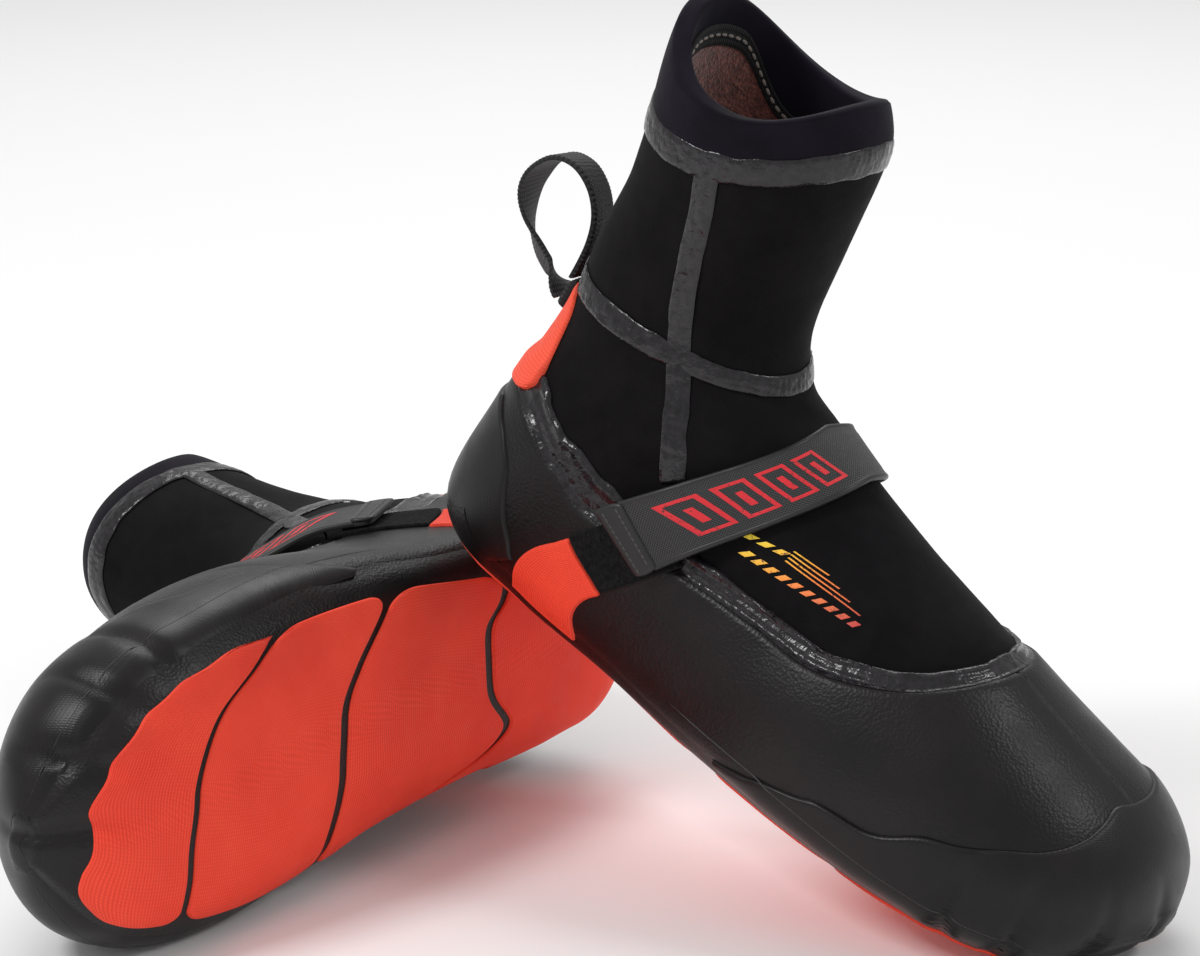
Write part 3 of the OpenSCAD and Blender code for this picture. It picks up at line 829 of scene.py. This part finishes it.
def rubber_shell():
    """The moulded cup: open round its upper edge, closed over the toes and under the sole."""
    edge = curve(SHELL_EDGE)
    down = edge(samples(110))
    toe = np.linspace(SHELL_EDGE[-1][0], POLE, 62)[1:]
    s = np.concatenate([down[:, 0], toe])
    start = np.concatenate([down[:, 1], np.zeros_like(toe)])
    start[0] = 179
    share = samples(96)
    t = blend(start[:, None], 360 - start[:, None], share)
    s = np.broadcast_to(s[:, None], t.shape)
    base, normal = moulded(s, t)
    line = edge(np.linspace(0, 1, 900))
    rim = np.concatenate([moulded(line[:, 0], side * line[:, 1])[0] for side in (-1, 1)])

    def relief(g):
        x, z = g.base[..., 0], g.base[..., 2]
        heel = ease((70 - x) / 40)
        crease = heel * 0.25 * speckle(x / 7 + z / 30, z / 25)
        return crease + 0.35 * speckle(x / 30, g.base[..., 1] / 24 + z / 30)
    add(slab("rubber_shell_skin", base, normal, SHELL_LOW, SHELL, edge=2.6, share=0.12, rim=rim,
             relief=relief), "shell", "shell_rubber", "rubber_shell")


def overlays():
    """Heel counter, toe rand with its wavy edge, and the hair-thin parting line of the mould, a ridge
    finished near black as a painted shadow line.
    """
    edge = curve(COUNTER_EDGE)

    def counter(u, v):
        line = edge(u)
        return line[..., 0], blend(line[..., 1], 360 - line[..., 1], v)
    add(patch("heel_counter_skin", counter, SHELL - 0.3, OVERLAY - 0.3, 44, 84, surface=moulded,
              edge=1.6, share=0.2), "overlay", "shell_rubber", "heel_counter")

    top = curve(RAND_EDGE)
    u, v = np.meshgrid(samples(44), np.linspace(0, 1, 241), indexing="ij")
    line = top(v)
    s0, t0 = line[..., 0], line[..., 1]
    drop = np.clip((np.abs(t0) - 50) / 68, 0, 1)
    s1 = blend(POLE, s0 + 0.1, drop)
    t1 = np.sign(t0) * np.minimum(2.2 * np.abs(t0), 125)
    s, t = blend(s0, s1, u), blend(t0, t1, u)
    base, normal = moulded(s, t)
    flat = base - TOE_CENTRE
    around = np.arctan2(flat[..., 1], flat[..., 0]) * 45
    uv = np.stack([around, np.hypot(flat[..., 0], flat[..., 1]) - flat[..., 2]], -1)
    add(slab("toe_rand_skin", base, normal, SHELL - 0.3, OVERLAY, edge=2.0, share=0.15,
             rim=base[0], uv=uv), "overlay", "shell_rubber", "toe_rand")

    # Parting line: a ridge only 0.12 mm proud whose near-black finish is a painted shadow line along
    # the edge of the sole.
    run = np.concatenate([np.linspace(7.6, POLE - 0.02, 200), np.linspace(POLE - 0.02, 7.6, 200)])
    side = np.repeat([-1, 1], 200)
    angle = side * blend(104, 97, ease((run - 8) / 2))
    height = blend(SHELL, OVERLAY, ease((run - 9.45) / 0.2))
    across = np.array([-0.45, 0, 0.45])
    s = np.tile(run, (3, 1))
    t = angle + across[:, None]
    base, normal = moulded(s, t)
    add(slab("parting_line_skin", base, normal, height - 0.3, height + 0.12, edge=0.3, share=0.6),
        "line", "shell_rubber")


def outsole():
    def place(u, v):
        return blend(6, POLE, u), blend(SOLE_SIDE, 360 - SOLE_SIDE, v)
    add(patch("outsole_skin", place, 1.2, tray_height, 90, 64, surface=moulded, edge=0.1,
              share=0.98), "shell", "shell_rubber", "outsole_tray")
    lines = [GRIP_FRONT, *GRIP_GAPS, GRIP_REAR]
    half_gap = 0.045
    sizes = [(50, 9), (48, 9), (44, 9), (50, 12)]
    parts = []
    for k, (length, radius) in enumerate(sizes):
        front, rear = curve(lines[k]), curve(lines[k + 1])

        def place(u, v, front=front, rear=rear, first=k == 0, last=k == 3, length=length,
                  radius=radius):
            u, v = rounded(u, v, length, 95, radius)
            a, b = front(v), rear(v)
            a = a - [0 if first else half_gap, 0]
            b = b + [0 if last else half_gap, 0]
            return blend(a[..., 0], b[..., 0], u), blend(a[..., 1], b[..., 1], u)
        parts.append(patch("grip", place, lambda s, t: tray_height(s, t) - 0.4,
                           lambda s, t: tray_height(s, t) + GRIP - OUTSOLE, 46, 90,
                           surface=moulded, edge=1.1, share=0.3))
    add(joined("grip_panels_skin", parts), "grip", "orange_rubber", "grip_panels")


def side_tabs():
    """Orange tabs from the sole up to the two ends of the strap."""
    for name, side, top in (("outer_tab", -1, 0), ("inner_tab", 1, -8)):
        rear = curve([(6.88, 127), (6.77, 116), (6.56, 100), (6.34, 85.5 + top)])
        front = curve([(7.62, 127), (7.52, 116), (7.32, 102), (7.12, 89 + top)])

        def place(u, v, side=side, rear=rear, front=front):
            u, v = rounded(u, v, 34, 44, 1.2)
            a, b = rear(v), front(v)
            return blend(a[..., 0], b[..., 0], u), side * blend(a[..., 1], b[..., 1], u)

        def high(s, t):
            under = blend(SHELL, tray_height(s, t), ease((side_angle(t) - 112) / 8))
            return np.maximum(under, SHELL) + 1.2
        add(patch(name + "_skin", place, lambda s, t: high(s, t) - 1.6, high, 30, 36,
                  edge=1.1, share=0.35), "grip", "orange_rubber", name)


def heel_tab():
    def place(u, v):
        u, v = rounded(u, v, 40, 60, 8)
        s = blend(3.84, 4.82, u)
        half = blend(40, 64, u ** 1.1)
        return s, 180 + (2 * v - 1) * half

    def high(s, t):
        return blend(1.7, 3.5, ease((s - 4.45) / 0.2))
    add(patch("heel_patch_skin", place, 0.1, high, 40, 48, edge=1.3, share=0.3), "heel",
        "orange_rubber", "heel_patch")


# ---------------------------------------------------------------- strap, prints and pull loop

def strap_middle(t):
    return 5.33 + 1.02 * np.minimum(np.abs(t) / STRAP_SIDE, 1.1) ** 1.3


def strap_half(t):
    return blend(0.65, 0.5, np.abs(t) / STRAP_SIDE)


def strap_low(t):
    return blend(STRAP_TOP_LOW, STRAP_SIDE_LOW, ease((np.abs(t) - 45) / 20))


def on_strap(w, t):
    """Under face of the strap at share w across it (-1 to 1): straight across, so that it
    bridges the hollow of the ankle, and raised where the skin bulges through."""
    def edge_point(side, angle):
        s = strap_middle(angle) + side * strap_half(angle)
        return skin(s, angle) + strap_low(angle)[..., None] * outward(s, angle)
    rear, fore = edge_point(-1, t), edge_point(1, t)
    chord = fore - rear
    turn = edge_point(-1, t + 1) + edge_point(1, t + 1) - edge_point(-1, t - 1) \
        - edge_point(1, t - 1)
    normal = np.cross(chord, turn)
    normal /= np.linalg.norm(normal, axis=-1, keepdims=True)
    bulge = np.zeros_like(t)
    for share in np.linspace(-1, 1, 9):
        s = strap_middle(t) + share * strap_half(t)
        real = skin(s, t) + strap_low(t)[..., None] * outward(s, t)
        flat = blend(rear, fore, (share + 1) / 2)
        bulge = np.maximum(bulge, ((real - flat) * normal).sum(-1))
    base = blend(rear, fore, (w[..., None] + 1) / 2) + bulge[..., None] * normal
    return base, normal


def strap_patch(name, start, end, part, low, high, rows, columns, **options):
    """A piece on the strap from one angle to another, over a part of its width."""
    length = abs(end - start) * 0.75
    u, v = np.meshgrid(samples(rows), samples(columns), indexing="ij")
    u, v = rounded(u, v, 26 * part, length, 2.0)
    base, normal = on_strap((2 * u - 1) * part, blend(start, end, v))
    return slab(name, base, normal, low, high, **options)


def strap():
    def relief(g):
        inset = ease((g.near - 1.6) / 0.5) * ease((4.2 - g.near) / 0.8)
        return -0.12 * inset
    body = "strap"
    add(strap_patch("instep_strap_skin", STRAP_END, STRAP_ROOT, 1, 0, STRAP, 30, 190,
                    edge=1.6, share=0.35, relief=relief),
        "strap", "strap_fabric", "instep_strap", body=body)
    bindings = [strap_rim(side) for side in (-1, 1)]
    add(joined("strap_binding_skin", bindings), "binding", "strap_fabric", body=body)
    add(strap_patch("strap_bar_skin", STRAP_END - 0.6, STRAP_END + BAR, 1.03, STRAP - 0.2,
                    STRAP + 1.0, 30, 18, edge=1.4, share=0.3),
        "binding", "strap_fabric", "strap_bar", body=body)
    rows = []
    w = np.linspace(-0.88, 0.88, 60)
    for t, lift in ((STRAP_END + 0.9, 1.02), (STRAP_END + BAR - 1.4, 1.02),
                    (STRAP_ROOT - 5.0, 0.05)):
        base, normal = on_strap(w, np.full_like(w, t))
        rows.append(stitches("row", base + normal * (STRAP + lift), normal, 2.2, 1.7, 0.32))
    add(joined("strap_stitches", rows), "thread", "seam_thread", body=body)
    add(strap_patch("hook_patch_skin", STRAP_END + 1, STRAP_END + 8, 0.85, -1.0, -0.1, 16, 14,
                    edge=0.5, share=0.6), "pile", "hook_and_loop", "hook_patch", body=body)


def strap_rim(side):
    """Smooth binding along one edge of the strap."""
    u, v = np.meshgrid(samples(8), samples(150), indexing="ij")
    t = blend(STRAP_END + BAR - 1, STRAP_ROOT - 0.5, v)
    width = 2.6 / 13
    w = side * (1.0 - width * u + 0.03)
    base, normal = on_strap(w, t)
    return slab("rim", base, normal, STRAP * 0.25, STRAP + 0.14, edge=1.1, share=0.3)


def strap_motif():
    """Plain pattern of slanted outlined bars, in place of any mark."""
    high = STRAP + 0.13
    parts = []

    def bar(start, width, low_share, high_share, slant=6.0):
        u, v = np.meshgrid(np.linspace(0, 1, 9), np.linspace(0, 1, 5), indexing="ij")
        w = blend(low_share, high_share, u)
        t = start + width * v + slant * w
        base, normal = on_strap(w, t)
        parts.append(slab("bar", base, normal, STRAP - 0.1, high, edge=0.1, share=0.8))
    stroke = 1.5
    wide = 8.5
    for start in (-62, -49, -36, -23):
        bar(start, stroke, -0.6, 0.6)
        bar(start + wide, stroke, -0.6, 0.6)
        bar(start + stroke, wide - stroke, -0.6, -0.5)
        bar(start + stroke, wide - stroke, 0.5, 0.6)
        bar(start + 3.9, 2.2, -0.26, 0.26)
    add(joined("strap_print_skin", parts), "red_ink", "print", "strap_print", body="strap")


def instep_stripes():
    """Four slanted stripes and two rows of small blocks on the outer side of the vamp."""
    parts = []

    def stripe(start, end, width, columns=4):
        """A straight printed line between two places, its width in degrees round the boot."""
        u, v = np.meshgrid(np.linspace(0, 1, 17), np.linspace(0, 1, columns), indexing="ij")
        s, t = blend(start[0], end[0], u), blend(start[1], end[1], u) + width * (v - 0.5)
        base, normal = soft(s, t)
        shade = (s - PRINT_START) / (PRINT_END - PRINT_START) * INK_LENGTH
        parts.append(slab("stripe", base, normal, -0.1, 0.2, edge=0.1, share=0.8,
                          uv=np.stack([shade, v * width], -1)))
    for k in range(4):
        stripe((6.84 + 0.04 * k, -40.4 - 1.25 * k), (7.3 + 0.23 * k, -36.6 - 0.3 * k), 0.55)
    for k in range(3):
        stripe((6.48 + 0.15 * k, -48.6 + 2.2 * k), (6.57 + 0.15 * k, -47.2 + 2.2 * k), 2.6)
    for k in range(10):
        stripe((6.74 + 0.145 * k, -52 + 1.2 * k), (6.82 + 0.145 * k, -51.3 + 1.2 * k), 2.8)
    add(joined("instep_print_skin", parts), "warm_ink", "print", "instep_print")


def hook_and_loop():
    def fuzz(g):
        return 0.12 * speckle(g.x / 0.9, g.y / 0.9) + 0.08 * speckle(g.x / 2.3, g.y / 2.1)

    def outer(u, v):
        u, v = rounded(u, v, 22, 18, 0.8)
        s = blend(blend(6.3, 7.1, u), blend(6.02, 6.86, u), v)
        return s, blend(blend(-85.2, -88.7, u), -67, v)
    add(patch("loop_patch_skin", outer, SHELL - 0.2, LOOP_PILE, 60, 56, edge=1.0, share=0.3,
              relief=fuzz), "pile", "hook_and_loop", "loop_patch")

    def inner(u, v):
        u, v = rounded(u, v, 26, 9, 2)
        t = blend(64.5, 77, v)
        return strap_middle(t) + (2 * u - 1) * strap_half(t), t
    add(patch("strap_anchor_skin", inner, SHELL - 0.2, STRAP_SIDE_LOW + STRAP, 26, 22, edge=2.2,
              share=0.3), "binding", "hook_and_loop", "strap_anchor")


def inside():
    def sole(u, v):
        u, v = rounded(u, v, 250, 70, 30)
        return blend(6.5, 12.7, u), blend(122, 238, v)
    add(patch("insole_skin", sole, -LINING - 4.6, -LINING - 1.5, 60, 30, edge=2, share=0.4),
        "insole", "insole_foam", "insole")
    ring = np.linspace(-180, 180, 400)
    base, normal = soft(inner_edge(ring), ring)
    depth = RIM + PLUSH_STEP + 0.4
    add(band("inner_seam_skin", lambda t: inner_edge(t) - 0.09, lambda t: inner_edge(t) + 0.09,
             -depth, 0.2 - RIM, 4, 120, share=0.5), "webbing", "seam_thread", "inner_seam")
    add(stitches("inner_seam_stitches", base - normal * depth, -normal, 3.4, 2.5, 0.55),
        "light_thread", "seam_thread")


def pull_loop():
    """Ribbed webbing loop that turns edge-on as its near leg comes down to the heel."""
    share = np.linspace(0, 1, LOOP_POINTS)
    path = curve([(x / 20, z) for x, z in LOOP_PATH])(share) * [20, 1]
    step = np.gradient(path, axis=0)
    step /= np.linalg.norm(step, axis=1, keepdims=True)
    twist = np.radians(-48 * ease((share - 0.55) / 0.3) * ease((1 - share) / 0.12)
                       + 16 * np.sin(2 * math.pi * share) * ease((0.6 - share) / 0.2))
    still = np.zeros(LOOP_POINTS)
    tangent = np.stack([step[:, 0], still, step[:, 1]], -1)
    flat = np.stack([-step[:, 1], still, step[:, 0]], -1)
    across = np.array([0, 1, 0]) * np.cos(twist)[:, None] + flat * np.sin(twist)[:, None]
    normal = np.cross(across, tangent)
    w = samples(16) * 2 - 1
    middle = np.stack([path[:, 0], 1.2 * np.sin(2 * math.pi * share), path[:, 1]], -1)
    narrow = 1 - 0.1 * np.sin(math.pi * share) ** 2
    base = middle[:, None] + (LOOP_WIDTH / 2 * w)[None, :, None] * (across * narrow[:, None])[:, None]
    normals = np.broadcast_to(normal[:, None], base.shape)

    def ribs(g):
        lane = np.cos(2 * math.pi * g.y / 2.6)
        return 0.12 * np.cos(2 * math.pi * g.x / 1.5 + math.pi * (lane > 0))
    add(slab("pull_loop_skin", base, normals, -WEBBING / 2, WEBBING / 2, edge=0.8, share=0.5,
             relief=ribs), "webbing", "webbing", "pull_loop", body="pull_loop")

    def block(u, v):
        u, v = rounded(u, v, 11, 19, 1)
        return blend(3.93, 4.2, u), blend(164, 196, v)
    add(patch("loop_base_skin", block, 1.4, 5.3, 12, 24, edge=1.4, share=0.35), "webbing",
        "webbing", "loop_base")
    rows = []
    for s in (3.97, 4.16):
        t = np.linspace(167, 193, 40)
        base, normal = soft(np.full_like(t, s), t)
        rows.append(stitches("row", base + normal * 5.3, normal, 1.9, 1.4, 0.3))
    add(joined("loop_base_stitches", rows), "thread", "seam_thread")


def boot():
    for build in (collar, uppers, seam_tapes, shell_bead, rubber_shell, overlays, outsole,
                  side_tabs, heel_tab, strap, strap_motif, instep_stripes, hook_and_loop, inside,
                  pull_loop):
        build()


# ---------------------------------------------------------------- the pair in place

def turned(roll, pitch, yaw):
    return (Matrix.Rotation(math.radians(yaw), 4, "Z") @ Matrix.Rotation(math.radians(pitch), 4, "Y")
            @ Matrix.Rotation(math.radians(roll), 4, "X"))


TURNS = {
    "right": turned(0, 25.5, -37),
    "left": turned(91, 0, 232.5) @ Matrix.Scale(-1, 4, (0, 1, 0)),
}


def placed(side):
    """Matrix from a boot's own frame in millimetres to the model's, found from the lowest
    corner of its packed collar band."""
    s, t = np.meshgrid(np.linspace(0, COLLAR_SEAM - 0.01, 4), np.arange(0, 360, 15), indexing="ij")
    base, normal = soft(s, t)
    points = np.concatenate([base, base - NEOPRENE * normal]).reshape(-1, 3) * MM
    turn = np.array(TURNS[side].to_3x3())
    shift = np.array(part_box(side + "_collar_band")[0]) - (points @ turn.T).min(0)
    return Matrix.Translation(Vector(shift)) @ TURNS[side] @ Matrix.Scale(MM, 4)


def place_pair():
    for side in ("right", "left"):
        matrix = placed(side)
        for made in MADE:
            mesh = made.mesh.copy()
            mesh.transform(matrix)
            if matrix.determinant() < 0:
                mesh.flip_normals()
            piece = bpy.data.objects.new(f"{side}_{made.mesh.name}", mesh)
            bpy.context.collection.objects.link(piece)
            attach(piece, f"{side}_{made.body}")
            if made.nodes:
                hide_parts(*[f"{side}_{node}" for node in made.nodes])


# ---------------------------------------------------------------- studio

def studio(low, high):
    """Pale floor, even surround and three soft lights, sized by the object."""
    centre, span = (low + high) / 2, (high - low).length
    floor_mesh = bpy.data.meshes.new("floor")
    reach = 30 * span
    floor_mesh.from_pydata([(-reach, -reach, 0), (reach, -reach, 0), (reach, reach, 0),
                            (-reach, reach, 0)], [], [(0, 1, 2, 3)])
    pale = Finish("pale_floor", Roughness=0.9, Specular_IOR_Level=0.1)
    pale.colour(pale.mix(pale.noise(2.0), (0.93, 0.93, 0.93, 1), (0.96, 0.96, 0.96, 1)))
    floor_mesh.materials.append(pale.data)
    floor = bpy.data.objects.new("floor", floor_mesh)
    floor.location.z = low.z - 0.0004
    bpy.context.collection.objects.link(floor)
    world = bpy.data.worlds.new("surround")
    world.use_nodes = True
    world.node_tree.nodes["Background"].inputs["Color"].default_value = (1, 1, 1, 1)
    world.node_tree.nodes["Background"].inputs["Strength"].default_value = 0.5
    bpy.context.scene.world = world
    lights = [((-1.5, -0.9, 1.7), 0.6, 22), ((1.9, -0.7, 1.5), 0.5, 9), ((0.2, 2.6, 3.4), 2.6, 62)]
    for k, (place, size, power) in enumerate(lights):
        light = bpy.data.lights.new(f"softbox_{k}", "AREA")
        light.size = size * span
        light.energy = power * span * span
        lamp = bpy.data.objects.new(f"softbox_{k}", light)
        lamp.location = centre + Vector(place) * span
        lamp.rotation_euler = (centre - lamp.location).to_track_quat("-Z", "Y").to_euler()
        bpy.context.collection.objects.link(lamp)


def camera(low, high):
    """Looks along +Y from a little above, at a point just off the middle of the pair."""
    size = high - low
    target = Vector(((low.x + high.x) / 2 + AIM_ASIDE * size.x, (low.y + high.y) / 2,
                     low.z + AIM_UP * size.z))
    elevation = math.radians(ELEVATION)
    away = Vector((0, -math.cos(elevation), math.sin(elevation)))
    lens = bpy.data.cameras.new("camera")
    lens.lens = FOCAL_LENGTH
    view = bpy.data.objects.new("camera", lens)
    view.location = target + away * CAMERA_DISTANCE
    view.rotation_euler = (-away).to_track_quat("-Z", "Y").to_euler()
    bpy.context.collection.objects.link(view)
    bpy.context.scene.camera = view


boot()
place_pair()
studio(*cad_box)
camera(*cad_box)
bpy.context.scene.view_settings.view_transform = "Standard"
bpy.context.scene.view_settings.exposure = 0.15
